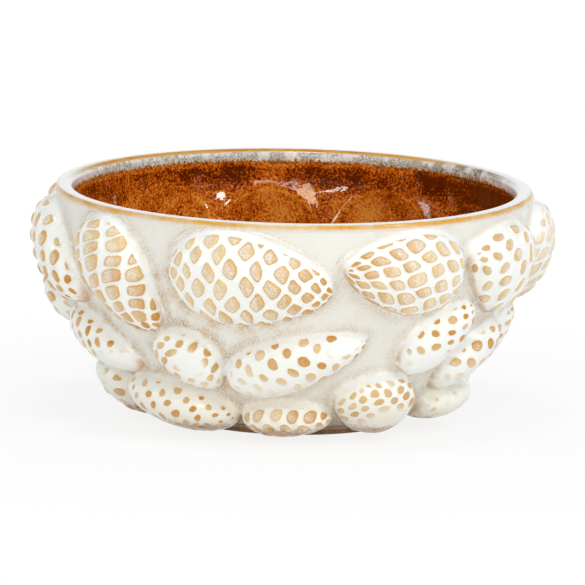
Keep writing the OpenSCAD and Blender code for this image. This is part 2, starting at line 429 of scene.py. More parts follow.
def form():
    """The panel's sizes of the clay."""
    return bpy.context.scene.bowl_form


def look():
    """The panel's sizes of the relief."""
    return bpy.context.scene.bowl_relief


def wall_radius(z):
    """Radius of the wall's outside at a height."""
    belly_r = FOOT_R + form().foot_step
    top_r = RIM_R - form().lip_overhang
    rise = np.clip((z - FOOT_H) / (WALL_TOP_Z - FOOT_H), 0, 1)
    return belly_r + (top_r - belly_r) * np.sin(math.pi / 2 * rise) ** form().belly_share


def wall_lean(z):
    """Lean of the wall from the vertical at a height, in radians."""
    span = FOOT_H / 20
    return np.arctan2(wall_radius(z + span) - wall_radius(z - span), 2 * span)


def even_steps(points, count):
    """Resamples a profile into count equal steps. Returns the points and their lengths."""
    points = np.array(points)
    length = np.concatenate([[0], np.cumsum(np.hypot(*np.diff(points, axis=0).T))])
    even = np.linspace(0, length[-1], count + 1)
    return np.stack([np.interp(even, length, points[:, k]) for k in (0, 1)], 1), even


def arc(centre, radius, start, end, steps=16):
    """Points of an arc in a profile, between two angles in degrees."""
    angles = np.radians(np.linspace(start, end, steps + 1))
    return [(centre[0] + radius * math.cos(a), centre[1] + radius * math.sin(a)) for a in angles]


def lip_profile():
    """The lip's outline: up its outside, over the top and down to the lining."""
    f = form()
    inner_r = RIM_R - f.lip_width
    ease = f.lip_overhang * 2
    foot = [
        (RIM_R - f.lip_overhang * (1 - soft_step(0, 1, t)), WALL_TOP_Z + ease * t)
        for t in np.linspace(0, 1, 8)
    ]
    outer = (RIM_R - f.lip_outer_radius, BOWL_H - f.lip_outer_radius)
    inner = (inner_r + f.lip_inner_radius, BOWL_H - f.lip_inner_radius)
    return (
        foot
        + arc(outer, f.lip_outer_radius, 0, 90)
        + arc(inner, f.lip_inner_radius, 90, 180)
        + [(inner_r, BOWL_H - f.band_height - f.glaze_thickness / 2)]
    )


def grid_normals(points):
    """Normals of a grid of points that closes on itself sideways."""
    sideways = np.roll(points, -1, 1) - np.roll(points, 1, 1)
    upwards = np.gradient(points, axis=0)
    normals = np.cross(sideways, upwards)
    return normals / np.maximum(np.linalg.norm(normals, axis=-1, keepdims=True), 1e-12)


def azimuths(columns):
    """Even steps round the bowl, in radians."""
    return np.arange(columns) * 2 * math.pi / columns


def turned(profile, columns):
    """The points of a profile turned round the bowl's axis."""
    profile = np.array(profile)
    azimuth = azimuths(columns)
    x = profile[:, :1] * np.sin(azimuth)
    y = -profile[:, :1] * np.cos(azimuth)
    return np.stack([x, y, np.broadcast_to(profile[:, 1:], x.shape)], -1)


class Cone:
    """One pine cone and the part of the outside that it touches."""

    def __init__(self, row, number, place, proud, pattern):
        azimuth, tip, drop, length, width, relief = place
        self.node = f"{row}_cone_{number:02d}"
        self.azimuth = math.radians(azimuth)
        self.tip_right = math.cos(math.radians(tip))
        self.tip_up = math.sin(math.radians(tip))
        self.z = WALL_TOP_Z - drop * BOWL_H
        self.half_length = length * RIM_R / 2
        self.half_width = width * RIM_R / 2
        self.proud = proud * relief
        self.taper, self.fading, self.bold, self.uneven = ROW_LOOKS[row]
        self.pattern = SCALE_PATTERNS[pattern]
        self.pool = GLAZE_POOLS.get(self.node, (0, 0, 0))
        self.bareness = BARENESS.get(self.node, 1)
        self.shift = PAD_SHIFTS.get(self.node, (0, 0))
        self.thin_side = math.radians(THIN_SIDES.get(self.node, USUAL_THIN_SIDE))

    def place_on(self, azimuth, z):
        """Finds the points near the cone and where they lie along and across it."""
        r = look()
        turn = (azimuth - self.azimuth + math.pi) % (2 * math.pi) - math.pi
        sideways = turn * wall_radius(self.z)
        upwards = (z - self.z) / math.cos(wall_lean(self.z)) * RIM_R / BOWL_H
        along = sideways * self.tip_right + upwards * self.tip_up
        across = upwards * self.tip_right - sideways * self.tip_up
        reach = 2 * r.collar
        self.near = (np.abs(along) < self.half_length + reach) & (
            np.abs(across) < self.half_width * (1 + self.taper) + reach
        )
        along, across = along[self.near], across[self.near]
        self.x = along / self.half_length
        t = np.clip(self.x, -1, 1)
        width = self.half_width * (1 - self.taper * np.clip(self.x, -1.2, 1.2))
        self.y = across / width
        self.height = self.proud * (1 - np.minimum(t * t, BLUNT_LIMIT)) ** -BLUNTNESS
        self.width = width
        flat = np.hypot(self.x, self.y)
        self.edge = (flat - 1) * np.hypot(along, across) / np.maximum(flat, 1e-6)
        out_along = self.x / self.half_length
        out_across = self.y / width
        out = np.hypot(out_along, out_across) + 1e-9
        up = (out_along * self.tip_up + out_across * self.tip_right) / out
        # 1 where the cone's edge faces up the wall, and 0 where it faces down
        self.up = soft_step(-0.35, 0.5, up)
        self.rise = (along * self.tip_up + across * self.tip_right) / self.half_width
        self.reach = r.crease + (r.collar - r.crease) * self.up

    def distance(self, height):
        """Signed distance from the cone's smooth body to points at a height on the wall."""
        z = height / self.height
        near = np.sqrt(self.x**2 + self.y**2 + z**2)
        steep = np.sqrt(
            (self.x / self.half_length) ** 2 + (self.y / self.width) ** 2 + (z / self.height) ** 2
        )
        return near * (near - 1) / np.maximum(steep, 1e-6)

    def swayed(self, straight, other, k):
        """Bends the rows of scales a little, one way by the other."""
        seed = self.azimuth * 7
        sway = SWAY * np.sin(other * SWAY_TURNS[k] + seed)
        return straight + sway + RIPPLE * np.sin(straight * RIPPLE_TURNS[k] + seed)

    def scales(self, height):
        """What the points near the cone take from its scales and from their place on it."""
        step_a, step_b, axis_a, axis_b, power, covered = self.pattern
        z = height / self.height
        far = np.maximum(np.sqrt(self.x**2 + self.y**2 + z**2), 1e-6)
        along = np.arcsin(np.clip(self.x / far, -1, 1))
        side = np.arctan2(self.y, np.maximum(z, 1e-6))
        turn, length = crest_lengths(self.half_length, self.proud)
        along = (np.interp(along, turn, length) + along * self.half_length) / 2 / MM
        across = np.interp(side, *crest_lengths(self.half_width, self.proud)) / MM
        along, across = self.swayed(along, across, 0), self.swayed(across, along, 1)
        p, q = solve_steps(step_a, step_b, along, across)
        p, q = p + self.shift[0], q + self.shift[1]
        i, j = np.round(p), np.round(q)
        luck = [noise_of(i, j, self.azimuth + k) for k in range(5)]
        p = p - i - STRAY * (luck[3] - 0.5)
        q = q - j - STRAY * (luck[4] - 0.5)
        size = 1 + SIZE_SPREAD * (luck[0] - 0.5)
        along, across = p * step_a[0] + q * step_b[0], p * step_a[1] + q * step_b[1]
        a, b = solve_steps(axis_a, axis_b, along, across)
        lean = along * math.cos(self.thin_side) + across * math.sin(self.thin_side)
        lean = np.clip(2 * lean / (math.hypot(*axis_a) + math.hypot(*axis_b)), -1, 1)
        outline = ((np.abs(a) / size) ** power + (np.abs(b) / size) ** power) ** (1 / power)
        # The rows crowd together towards a cone's ends, and the pads there are narrower
        narrow = np.clip(np.sqrt(np.clip(1 - self.x**2, 0, 1)) * 1.25, 0.35, 1)
        spread = min(math.hypot(*axis_a), math.hypot(*axis_b)) * MM * size * narrow
        margin = PAD_MARGIN_LOW + (PAD_MARGIN_HIGH - PAD_MARGIN_LOW) * self.up
        inside = np.minimum((1 - outline) * spread, -(self.edge + margin))
        pool_x, pool_y, pool_r = self.pool
        away = np.hypot(self.x - pool_x, self.y - pool_y)
        pool = soft_step(1.15 * pool_r + 0.01, 0.55 * pool_r, away)
        pool = np.maximum(pool, 0.9 * soft_step(0, 0.12, covered - luck[1]))
        # Glaze lies thicker on the lower side of a cone, and on some pads by luck
        low = self.fading * soft_step(0.2, -0.7, self.rise)
        faint = self.uneven * soft_step(0.45, 1, luck[2])
        strength = self.bareness * (1 - faint) * (1 - pool) * (1 - low)
        strength = strength * soft_step(-2.2, 0.4, self.x)
        return {
            "pad": inside, "bare": strength, "spread": spread, "pool": pool, "lean": lean,
            "up": self.up, "edge": self.edge, "tipwards": self.x, "bold": self.bold,
        }


@cache
def crest_lengths(half_width, height):
    """Lengths over a half ellipse, from its crest, at even turns from one end to the other."""
    turn = np.linspace(-math.pi / 2, math.pi / 2, 361)
    steps = np.hypot(np.diff(half_width * np.sin(turn)), np.diff(height * np.cos(turn)))
    length = np.concatenate([[0], np.cumsum(steps)])
    return turn, length - length[-1] / 2


def solve_steps(step_a, step_b, along, across):
    """How many of each of two steps lead to a place."""
    area = step_a[0] * step_b[1] - step_a[1] * step_b[0]
    return (
        (along * step_b[1] - across * step_b[0]) / area,
        (across * step_a[0] - along * step_a[1]) / area,
    )


def noise_of(i, j, seed):
    """An even random number from 0 to 1 for each pair of whole numbers."""
    wave = np.sin(i * 12.9898 + j * 78.233 + seed * 37.719) * 43758.5453
    return wave - np.floor(wave)


def all_cones():
    """Every cone, from the upper row to the lower one."""
    r = look()
    table = (
        ("upper", UPPER_PLACE_SHARES, r.upper_proud, UPPER_PATTERNS),
        ("middle", MIDDLE_PLACE_SHARES, r.middle_proud, MIDDLE_PATTERNS),
        ("lower", LOWER_PLACE_SHARES, r.lower_proud, LOWER_PATTERNS),
    )
    return [
        Cone(row, k + 1, places[k], proud, patterns[k])
        for row, places, proud, patterns in table
        for k in range(len(places))
    ]


class Relief:
    """The bowl's whole outside as one grid: its points, normals, masks and owners."""

    WALL = -1
    LIP = -2
    LIP_ROWS = 64

    def __init__(self):
        self.columns = look().columns
        self.wall_rows = look().rows
        self.cones = all_cones()
        self.make_profile()
        self.raise_cones()
        self.press_scales()
        self.share_cells()
        self.sink_backs()

    def make_profile(self):
        """The profile that every column starts from, and the way that relief rises from it."""
        z = np.linspace(FOOT_H, WALL_TOP_Z, OUTSIDE_STEPS)
        wall, _ = even_steps(np.stack([wall_radius(z), z], 1), self.wall_rows)
        lip, lip_length = even_steps(lip_profile(), self.LIP_ROWS)
        profile = np.concatenate([wall, lip[1:]])
        lean = np.concatenate([
            look().droop_share * wall_lean(wall[:, 1]), np.zeros(self.LIP_ROWS)
        ])
        before = np.full(self.wall_rows, OFF_LIP * MM)
        self.lip_length = np.concatenate([before, lip_length])[:, None]
        self.azimuth, self.r = np.broadcast_arrays(azimuths(self.columns)[None, :], profile[:, :1])
        self.z = np.broadcast_to(profile[:, 1:], self.r.shape)
        self.base = turned(profile, self.columns)
        self.outwards = turned(np.stack([np.cos(lean), -np.sin(lean)], 1), self.columns)
        rise = soft_step(0, FOOT_FADE, self.z - FOOT_H)
        on_lip = (np.arange(len(profile)) > self.wall_rows)[:, None]
        fall = soft_step(BOWL_H - LIP_FADE_START, BOWL_H - LIP_FADE_END, self.z) * on_lip
        self.fade = rise * (1 - fall) * ~(on_lip & (self.r < RIM_R - LIP_TOP))

    def raise_cones(self):
        """Finds how high the clay stands, with every cone merged into the wall."""
        for cone in self.cones:
            cone.place_on(self.azimuth, self.z)
        low = np.zeros(self.r.shape)
        high = np.full(self.r.shape, 1.5 * max(c.proud for c in self.cones))
        for _ in range(HALVINGS):
            middle = (low + high) / 2
            distance = middle.copy()
            for cone in self.cones:
                near = cone.near
                distance[near] = merge(distance[near], cone.distance(middle[near]), cone.reach)
            inside = distance < 0
            low = np.where(inside, middle, low)
            high = np.where(inside, high, middle)
        self.raised = low * self.fade
        self.points = self.base + self.outwards * self.raised[..., None]

    def press_scales(self):
        """Presses the scales into the cones and works out the masks of the glaze."""
        shape = self.r.shape
        closest = np.ones(shape)
        for name, value in (
            ("pad", OFF_PAD * MM), ("bare", 0.0), ("spread", MM), ("pool", 0.0), ("lean", 0.0),
            ("up", 1.0), ("edge", FAR_EDGE * MM), ("tipwards", 0.0), ("bold", 1.0), ("cone", -1),
        ):
            setattr(self, name, np.full(shape, value))
        for number, cone in enumerate(self.cones):
            near = cone.near
            height = self.raised[near]
            distance = cone.distance(height)
            nearer = distance < closest[near]
            closest[near] = np.where(nearer, distance, closest[near])
            for name, value in (cone.scales(height) | {"cone": number}).items():
                target = getattr(self, name)
                target[near] = np.where(nearer, value, target[near])
        normals = grid_normals(self.points)
        big = soft_step(SMALL_PAD, BIG_PAD, self.spread)
        full = look().scale_height * (SMALL_PAD_HEIGHT + (1 - SMALL_PAD_HEIGHT) * big)
        share = np.clip((self.pad + PAD_SLOPE) / self.spread, 0, 1)
        bump = full * (1 - (1 - share) ** 2) ** PAD_BLUNTNESS
        bump = bump * (1 + PAD_TILT * self.lean) * self.bold
        shown = GLAZED_PAD_HEIGHT + (1 - GLAZED_PAD_HEIGHT) * self.bare
        shown = shown * (1 - POOL_FILL * self.pool) * (self.raised > PADLESS_RELIEF)
        height = bump * self.fade * shown
        self.points = self.points + normals * height[..., None]
        self.normals = grid_normals(self.points)
        # The greyish middle shows on large pads, and less so towards the cone's tip
        large = soft_step(1.8 * MM, 2.6 * MM, self.spread)
        self.core = large * (1 - 0.7 * soft_step(0.1, 0.9, self.tipwards))
        # Painted shade: a line along the crease under each cone
        self.crease = (1 - self.up) * np.exp(-((self.edge / CREASE_SHADE_LINE) ** 2)) * self.fade

    def share_cells(self):
        """Gives each cell of the coarse grid to the wall, the lip or one of the cones."""
        middle = (slice(1, None, 2), slice(1, None, 2))
        reach = CELL_REACH_LOW + (CELL_REACH_HIGH - CELL_REACH_LOW) * self.up[middle]
        owned = (self.edge[middle] < reach) & (self.raised[middle] > LEAST_RELIEF)
        self.owner = np.where(owned, self.cone[middle], self.WALL)
        self.owner[self.wall_rows // 2:] = self.LIP
        self.owner[0] = self.WALL
        for name in ("points", "normals", "pad", "bare", "core", "lean", "edge", "crease"):
            self.level_seams(getattr(self, name))

    def level_seams(self, values):
        """Puts each middle point on a seam halfway between its neighbours on the seam."""
        owner = self.owner
        rows, columns = np.nonzero(owner[1:] != owner[:-1])
        rows, columns = 2 * rows + 2, 2 * columns + 1
        after = (columns + 1) % self.columns
        values[rows, columns] = (values[rows, columns - 1] + values[rows, after]) / 2
        rows, columns = np.nonzero(owner != np.roll(owner, 1, 1))
        rows, columns = 2 * rows + 1, 2 * columns
        values[rows, columns] = (values[rows - 1, columns] + values[rows + 1, columns]) / 2

    def sink_backs(self):
        """The backs of the cones lie just under the wall's plain surface."""
        self.sunk = self.base - self.outwards * BURIED

    def masks(self, index):
        """The glaze masks of some points, by name, with lengths in millimetres."""
        flat = {
            "pad": self.pad / MM, "bare": self.bare, "core": self.core, "lean": self.lean,
            "edge": self.edge / MM, "crease": self.crease,
            "over_lip": np.broadcast_to(self.lip_length / MM, self.r.shape),
        }
        return {name: value.reshape(-1)[index] for name, value in flat.items()}


@cache
def relief():
    """The relief, worked out once for every piece that needs it."""
    return Relief()


def put(name, data, location=(0, 0, 0), turn=None):
    """Puts an object in the scene, at a place and a turn where they are given."""
    thing = bpy.data.objects.new(name, data)
    thing.location = location
    if turn is not None:
        thing.rotation_mode = "QUATERNION"
        thing.rotation_quaternion = turn
    bpy.context.scene.collection.objects.link(thing)
    return thing


def new_piece(name, points, faces, material, normals=None, relief_faces=0, masks=None):
    """Makes a mesh object at the origin, smooth, with its own normals where they are given."""
    mesh = bpy.data.meshes.new(name)
    mesh.from_pydata(points.tolist(), [], faces)
    mesh.validate()
    mesh.polygons.foreach_set("use_smooth", np.ones(len(mesh.polygons), bool))
    mesh.set_sharp_from_angle(angle=math.radians(50))
    for mask, values in (masks or {}).items():
        layer = mesh.attributes.new(mask, "FLOAT", "POINT")
        layer.data.foreach_set("value", values.astype(np.float32))
    if normals is not None:
        corners = np.empty(len(mesh.loops), np.int32)
        mesh.loops.foreach_get("vertex_index", corners)
        wanted = normals[corners]
        wanted[sum(len(face) for face in faces[:relief_faces]):] = 0
        mesh.normals_split_custom_set(wanted.tolist())
    mesh.materials.append(material)
    return put(name, mesh)


def seat(piece, slot, *nodes):
    """Rides a piece on the bowl and hides the CAD nodes that it stands for."""
    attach(piece, "root")
    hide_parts(*nodes)


def ring(first, columns):
    """The numbers of the points of one ring."""
    return first + np.arange(columns)


def strip(lower, upper):
    """Quads between two rings of points."""
    return np.stack([lower, np.roll(lower, -1), np.roll(upper, -1), upper], 1).tolist()


def ring_faces(rows, columns, first=0):
    """Quads of a grid that closes on itself sideways, row after row."""
    faces = []
    for k in range(rows):
        lower = ring(first + k * columns, columns)
        faces += strip(lower, lower + columns)
    return faces


def flipped(faces):
    """The same faces, seen from their other side."""
    return [face[::-1] for face in faces]


def behind(z, depth):
    """A point of the profile at a depth behind the wall's outside."""
    lean = wall_lean(z)
    return np.stack([wall_radius(z) - depth * np.cos(lean), z + depth * np.sin(lean)], -1)


def inside_surface(columns, rows, top_z, depth):
    """The bowl's inside at a depth behind the outside, pressed out behind the upper cones.

    Returns its points, its profile's lengths, how far each point is pressed and its normals.
    """
    f = form()
    z = np.linspace(WALL_TOP_Z, FOOT_H, INSIDE_STEPS)
    curve = behind(z, depth)
    curve = curve[curve[:, 1] < top_z]
    profile, length = even_steps(np.concatenate([curve, [(AXIS_GAP, curve[-1, 1])]]), rows)
    points = turned(profile, columns)
    normals = -grid_normals(points)
    push = np.zeros(points.shape[:2])
    for place in UPPER_PLACE_SHARES:
        z, azimuth = WALL_TOP_Z - place[2] * BOWL_H, math.radians(place[0])
        ball_r = f.hollow_radius - (depth - f.wall_thickness)
        r = behind(z, f.wall_thickness)[0] + f.hollow_depth - f.hollow_radius
        away = points - np.array([r * math.sin(azimuth), -r * math.cos(azimuth), z])
        outwards = (away * normals).sum(-1)
        across = (away**2).sum(-1) - outwards**2
        ball = np.sqrt(np.maximum(ball_r**2 - across, 0)) - outwards
        push = -merge(-push, -ball, BRINK)
    push = np.maximum(push, 0) * soft_step(0, HOLLOW_FADE, length)[:, None]
    return points + normals * push[..., None], length, push, normals


def skinned_piece(name, material, used, skin, hidden, faces, count, plain=None):
    """A piece with a skin of every second column of the relief, in the rows that are used.

    Its hidden points come after the skin, and have the plain masks or the skin's last ones.
    """
    field = relief()
    skin, hidden = skin.reshape(-1, 3), hidden.reshape(-1, 3)
    index = np.arange(field.r.size).reshape(field.r.shape)[used, ::2].reshape(-1)
    masks = {}
    for mask, values in field.masks(index).items():
        rest = plain.get(mask, 0) if plain else values[-1]
        masks[mask] = np.concatenate([values, np.full(len(hidden), rest)])
    points = np.concatenate([skin, hidden])
    normals = np.concatenate([field.normals[used, ::2].reshape(-1, 3), np.zeros(hidden.shape)])
    return new_piece(name, points, faces, material, normals, count, masks)


def make_wall(material):
    """The wall: its outside from the relief, then its inside and its underside."""
    field = relief()
    used = slice(0, field.wall_rows + 1, 2)
    rows, columns = field.wall_rows // 2, field.columns // 2
    points = field.points[used, ::2].copy()
    owner = field.owner[:rows]
    covered = (owner == np.roll(owner, 1, 1)) & (owner >= 0)
    buried = np.zeros(points.shape[:2], bool)
    buried[1:rows] = covered[1:] & covered[:-1] & (owner[1:] == owner[:-1])
    points[buried] = field.sunk[used, ::2][buried]
    f = form()
    inner_columns = columns // 2
    inner_top = turned([(RIM_R - f.lip_width + WALL_TUCK, WALL_TOP_Z)], inner_columns)
    inside = inside_surface(
        inner_columns, WALL_INSIDE_ROWS, WALL_TOP_Z - WALL_SLOPE, f.wall_thickness
    )[0]
    under = turned([(r * FOOT_R, FOOT_H + h * MM) for r, h in UNDERSIDE], inner_columns)
    lathe = np.concatenate([inner_top, inside, under])
    faces = ring_faces(rows, columns)
    count = len(faces)
    first = (rows + 1) * columns
    last = first + (len(lathe) - 1) * inner_columns
    faces += half_strip(rows * columns, columns, first)
    faces += ring_faces(len(lathe) - 1, inner_columns, first)
    faces += flipped(half_strip(0, columns, last))
    plain = {"pad": OFF_PAD, "edge": FAR_EDGE, "over_lip": OFF_LIP}
    return skinned_piece("glazed_wall", material, used, points, lathe, faces, count, plain)


def half_strip(fine, columns, coarse):
    """Faces between a ring of points and one of half as many, given where each starts."""
    faces = []
    for k in range(columns // 2):
        three = [fine + 2 * k, fine + 2 * k + 1, fine + (2 * k + 2) % columns]
        faces.append(three + [coarse + (k + 1) % (columns // 2), coarse + k])
    return faces


def make_lip(material):
    """The lip: its skin from the relief, closed underneath."""
    field = relief()
    used = slice(field.wall_rows, None, 2)
    columns = field.columns // 2
    points = field.points[used, ::2]
    rows = len(points) - 1
    f = form()
    inner_r = RIM_R - f.lip_width
    under = turned([
        (inner_r + LIP_TUCK, BOWL_H - f.band_height - f.glaze_thickness / 2),
        (inner_r + LIP_TUCK + LIP_SINK, WALL_TOP_Z - LIP_SINK),
        (RIM_R - f.lip_width / 2, WALL_TOP_Z),
    ], columns)
    faces = ring_faces(rows, columns)
    count = len(faces)
    faces += ring_faces(3, columns, rows * columns)
    faces += strip(ring((rows + 3) * columns, columns), ring(0, columns))
    return skinned_piece("glazed_lip", material, used, points, under, faces, count)


def make_cone(number, material):
    """One cone: its face from the fine grid and its back from the coarse one."""
    field = relief()
    owner = field.owner
    width = field.columns
    mine = owner == number
    if not mine.any():
        raise RuntimeError(f"{field.cones[number].node} owns no cell")
    rows, columns = np.nonzero(mine)
    top = []
    for down, right in ((0, 0), (0, 1), (1, 0), (1, 1)):
        j, i = 2 * rows + down, 2 * columns + right
        k = (i + 1) % width
        low, high = j * width, (j + 1) * width
        top.append(np.stack([low + i, low + k, high + k, high + i], 1))
    top = np.concatenate(top)
    padded = np.pad(mine, 1, mode="wrap")
    padded[0] = padded[-1] = False
    inner = padded[1:, 1:] & padded[1:, :-1] & padded[:-1, 1:] & padded[:-1, :-1]
    offset = field.points.shape[0] * width
    back = []
    half = width // 2
    for j, i in zip(rows.tolist(), columns.tolist()):
        left, right = (i - 1) % half, (i + 1) % half
        corners = []
        for (cj, ci), (mj, mi), open_side in (
            ((j, i), (2 * j + 1, 2 * i), not mine[j, left]),
            ((j + 1, i), (2 * j + 2, 2 * i + 1), j + 1 >= len(mine) or not mine[j + 1, i]),
            ((j + 1, i + 1), (2 * j + 1, 2 * i + 2), not mine[j, right]),
            ((j, i + 1), (2 * j, 2 * i + 1), j == 0 or not mine[j - 1, i]),
        ):
            corner = 2 * cj * width + (2 * ci) % width
            corners.append(corner + (offset if inner[cj, ci] else 0))
            if open_side:
                corners.append(mj * width + mi % width)
        back.append(corners)
    used = np.unique(np.concatenate([top.reshape(-1), *back]))
    place = {int(v): k for k, v in enumerate(used)}
    faces = np.searchsorted(used, top).tolist() + [[place[v] for v in b] for b in back]
    on_back = used >= offset
    index = used % offset
    points = np.where(
        on_back[:, None], field.sunk.reshape(-1, 3)[index], field.points.reshape(-1, 3)[index]
    )
    normals = field.normals.reshape(-1, 3)[index]
    name = "glazed_" + field.cones[number].node
    return new_piece(name, points, faces, material, normals, len(top), field.masks(index))


def make_foot(material):
    """The foot ring, with softened corners and a flat standing face."""
    f = form()
    soft = FOOT_H / 4
    inner_r = FOOT_R - f.foot_width
    profile = (
        [(FOOT_R, FOOT_H)]
        + arc((FOOT_R - soft, soft), soft, 0, -90, 5)
        + arc((inner_r + soft, soft), soft, -90, -180, 5)
        + [(inner_r, FOOT_H)]
    )
    points = turned(profile, FOOT_COLUMNS)
    rows = len(profile) - 1
    faces = ring_faces(rows, FOOT_COLUMNS)
    faces += strip(ring(rows * FOOT_COLUMNS, FOOT_COLUMNS), ring(0, FOOT_COLUMNS))
    return new_piece("wiped_foot", points.reshape(-1, 3), flipped(faces), material)


def make_lining(material):
    """The amber lining, hollowed behind the upper cones, with its rounded top edge."""
    f = form()
    columns, rows = LINING_COLUMNS, LINING_ROWS
    top_z = BOWL_H - f.band_height
    deep = f.wall_thickness + f.glaze_thickness
    front, length, push, normals = inside_surface(columns, rows, top_z, deep)
    back = front + normals * (f.glaze_thickness * LINING_BACK_SHARE)
    back[0, :, 2] -= f.glaze_thickness / 2
    depth = np.broadcast_to((length / MM)[:, None], push.shape)
    points = np.concatenate([front.reshape(-1, 3), back.reshape(-1, 3)])
    faces = ring_faces(rows, columns)
    second = (rows + 1) * columns
    faces += flipped(ring_faces(rows, columns, second))
    last = rows * columns
    faces += strip(ring(second, columns), ring(0, columns))
    faces += strip(ring(last, columns), ring(second + last, columns))
    masks = {"depth": depth, "hollow": push / f.hollow_depth}
    masks = {name: np.concatenate([values.reshape(-1)] * 2) for name, values in masks.items()}
    return new_piece("amber_lining", points, faces, material, masks=masks)


class Tree:
    """A short way to lay nodes out in a material or a group."""

    def __init__(self, tree):
        self.tree = tree

    def add(self, kind, links=None, **settings):
        """A new node, with its settings and with what its sockets are fed."""
        node = self.tree.nodes.new(kind)
        for name, value in settings.items():
            setattr(node, name, value)
        for socket, value in (links or {}).items():
            self.feed(node.inputs[socket], value)
        return node

    def feed(self, socket, value):
        """Links an output to a socket, or sets the socket's own value."""
        if isinstance(value, bpy.types.NodeSocket):
            self.tree.links.new(value, socket)
        elif socket.type == "RGBA" and len(value) == 3:
            socket.default_value = (*value, 1)
        else:
            socket.default_value = value

    def maths(self, operation, a, b=0.0):
        return self.add("ShaderNodeMath", {0: a, 1: b}, operation=operation).outputs[0]

    def times(self, a, b):
        return self.maths("MULTIPLY", a, b)

    def plus(self, a, b):
        return self.maths("ADD", a, b)

    def ramp(self, value, low, high, start=0.0, end=1.0):
        """Start below low, end above high and a smooth change between them."""
        links = {"Value": value, "From Min": low, "From Max": high, "To Min": start, "To Max": end}
        node = self.add("ShaderNodeMapRange", links, interpolation_type="SMOOTHSTEP")
        return node.outputs["Result"]

    def mix(self, factor, a, b):
        node = self.add("ShaderNodeMix", data_type="RGBA")
        for socket, value in zip((0, 6, 7), (factor, a, b)):
            self.feed(node.inputs[socket], value)
        return node.outputs[2]

    def noise(self, size, detail=3.0, roughness=0.6, stretch=None):
        """Noise whose lumps are about size metres wide, with its mean at a half."""
        place = self.add("ShaderNodeTexCoord").outputs["Object"]
        if stretch:
            place = self.add("ShaderNodeMapping", {0: place, 3: stretch}).outputs[0]
        links = {"Vector": place, "Scale": 1 / size, "Detail": detail, "Roughness": roughness}
        return self.add("ShaderNodeTexNoise", links).outputs["Fac"]

    def wander(self, size, reach, detail=3.0):
        """Noise that strays to both sides of 0, over the given reach in all."""
        return self.times(self.plus(self.noise(size, detail), -0.5), reach)

    def specks(self, size, low, high, detail=3.0, roughness=0.6):
        """Noise with a clear change from 0 to 1 between two of its levels."""
        return self.ramp(self.noise(size, detail, roughness), low, high)

    def place(self, kind="Object"):
        """X, Y and Z of a point's place, or of its other coordinates of some kind."""
        place = self.add("ShaderNodeTexCoord").outputs[kind]
        return self.add("ShaderNodeSeparateXYZ", {0: place}).outputs

    def mask(self, name):
        """One of the masks that the meshes carry."""
        return self.add("ShaderNodeAttribute", attribute_name=name).outputs["Fac"]


NUMBER = "NodeSocketFloat"
COLOUR = "NodeSocketColor"
WHITE = (1, 1, 1, 1)


def group(name, inputs, outputs, fill):
    """A shader node group, made once, from its inputs' defaults and its outputs' kinds."""
    if name in bpy.data.node_groups:
        return bpy.data.node_groups[name]
    tree = bpy.data.node_groups.new(name, "ShaderNodeTree")
    for label, default in inputs.items():
        kind = COLOUR if default == WHITE else NUMBER
        socket = tree.interface.new_socket(label, in_out="INPUT", socket_type=kind)
        socket.default_value = default
    for label, kind in outputs.items():
        tree.interface.new_socket(label, in_out="OUTPUT", socket_type=kind)
    t = Tree(tree)
    given = t.add("NodeGroupInput").outputs
    t.add("NodeGroupOutput", fill(t, {label: given[label] for label in inputs}))
    return tree


def broken_glaze():
    """White glaze that runs off the raised pads and shows ochre and speckled clay there.

    Pad is how far inside a pad's outline a point lies, in millimetres.
    """
    def fill(t, given):
        pad = t.plus(given["Pad"], t.wander(0.5 * MM, 0.8))
        thin = t.ramp(t.plus(given["Lean"], t.wander(4 * MM, 2.0, 2)), -0.6, 0.6)
        inside = t.ramp(pad, -0.1, t.ramp(thin, 0, 1, 0.8, 0.4))
        specks = t.specks(0.9 * MM, 0.42, 0.58)
        veil = t.times(t.ramp(pad, 0.35, 0.95), t.ramp(thin, 1.0, 0.5, 0.4, 1.0))
        veil = t.times(veil, given["Core"])
        cloud = t.times(veil, t.plus(t.times(specks, 0.55), 0.45))
        warm = t.times(t.specks(5 * MM, 0.35, 0.65, 2), given["Core"])
        edge = t.mix(warm, given["Orange"], given["Ochre"])
        tan = t.mix(cloud, edge, given["Centre"])
        shown = t.times(inside, given["Bare"])
        halo = t.times(t.ramp(pad, -1.2, 0.2), given["Bare"])
        pale = t.mix(t.times(halo, 0.2), given["White"], given["Centre"])
        thinning = t.mix(t.ramp(shown, 0.0, 0.45), pale, given["Straw"])
        strong = t.times(t.ramp(given["Core"], 0, 1, 1.0, 0.9), given["Bare"])
        amount = t.times(t.ramp(inside, 0.10, 0.66), strong)
        return {"Color": t.mix(amount, thinning, tan), "Bare": shown}

    masks = dict.fromkeys(("Pad", "Bare", "Core", "Lean"), 0)
    colours = dict.fromkeys(("White", "Centre", "Straw", "Ochre", "Orange"), WHITE)
    return group("broken_glaze", masks | colours, {"Color": COLOUR, "Bare": NUMBER}, fill)


def thin_wall_glaze():
    """Thin glaze on the plain wall: pale, finely speckled, and sandy beside the cones.

    Edge is how far from the nearest cone a point lies, in millimetres.
    """
    def fill(t, given):
        patchy = t.specks(9 * MM, 0.38, 0.58)
        near = t.ramp(given["Edge"], 9.5, 0.8)
        beside = t.times(near, t.plus(t.times(patchy, 0.65), 0.35))
        sandy = t.times(t.maths("MAXIMUM", beside, t.times(patchy, 0.22)), given["Sandiness"])
        grain = t.specks(0.6 * MM, 0.38, 0.62)
        amount = t.times(sandy, t.plus(t.times(grain, 0.75), 0.25))
        amount = t.plus(amount, t.times(grain, 0.08))
        return {"Color": t.mix(amount, given["Wall"], given["Sand"])}

    inputs = {"Edge": FAR_EDGE, "Sandiness": 0.2, "Wall": WHITE, "Sand": WHITE}
    return group("thin_wall_glaze", inputs, {"Color": COLOUR}, fill)


